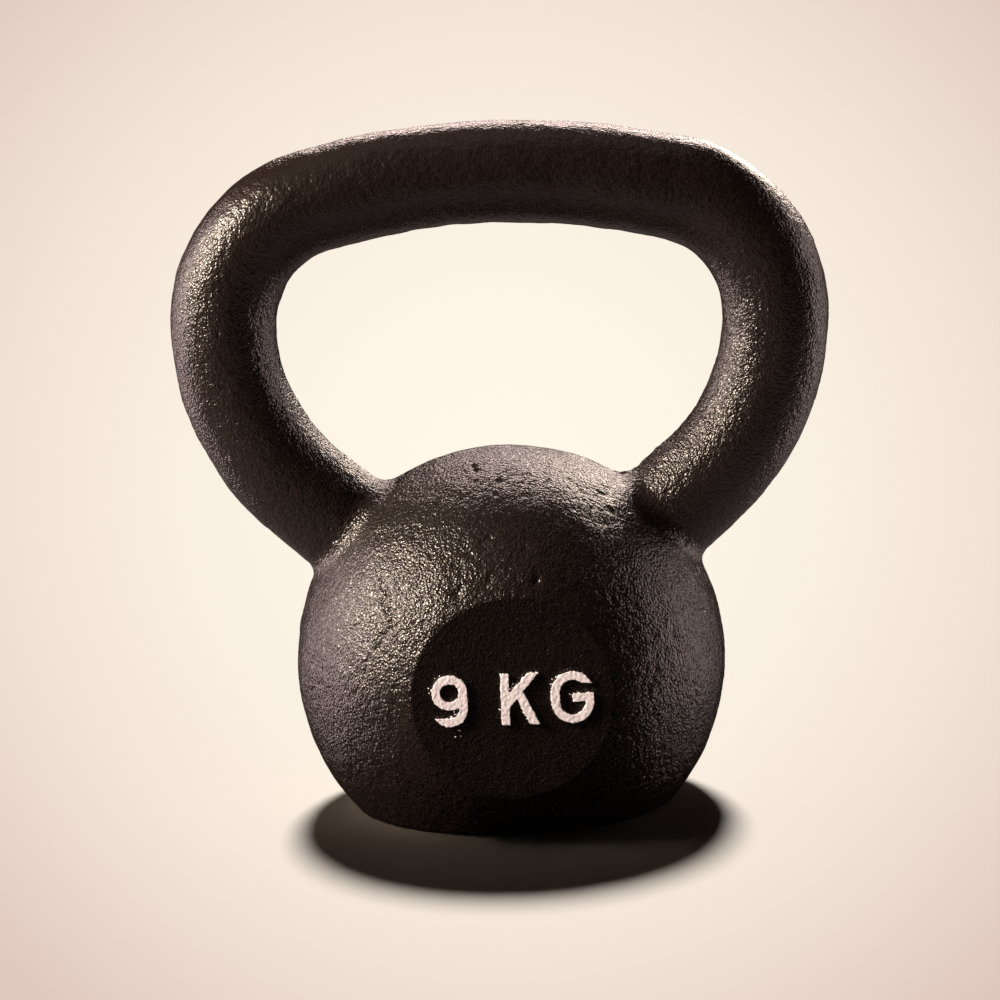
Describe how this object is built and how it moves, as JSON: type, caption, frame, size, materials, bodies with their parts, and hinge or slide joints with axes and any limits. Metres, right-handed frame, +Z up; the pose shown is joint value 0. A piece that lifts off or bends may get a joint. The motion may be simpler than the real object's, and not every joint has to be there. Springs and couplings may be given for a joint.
{
  "type": "kettlebell",
  "caption": "Round solid iron kettlebell with a flat base, a round front pad and a wide bent-bar handle, in a black textured coat with a raised white weight mark.",
  "frame": {"origin": "centre of the flat base that it stands on, on the bell's upright axis", "axes": "+Z up, X along the hand bar, the round pad with the weight mark faces -Y"},
  "size_m": [0.195, 0.1222, 0.2042],
  "materials": {
    "coated_iron": "warm black baked coat with a coarse orange-peel grain over cast iron, satin, with small casting pits",
    "white_enamel": "matt white enamel, thick, uneven and rough at its edges"
  },
  "bodies": {
    "root": {"bell": "coated_iron", "handle": "coated_iron", "right_root_weld": "coated_iron", "left_root_weld": "coated_iron", "mark_9": "white_enamel", "mark_K": "white_enamel", "mark_G": "white_enamel"}
  },
  "joints": []
}
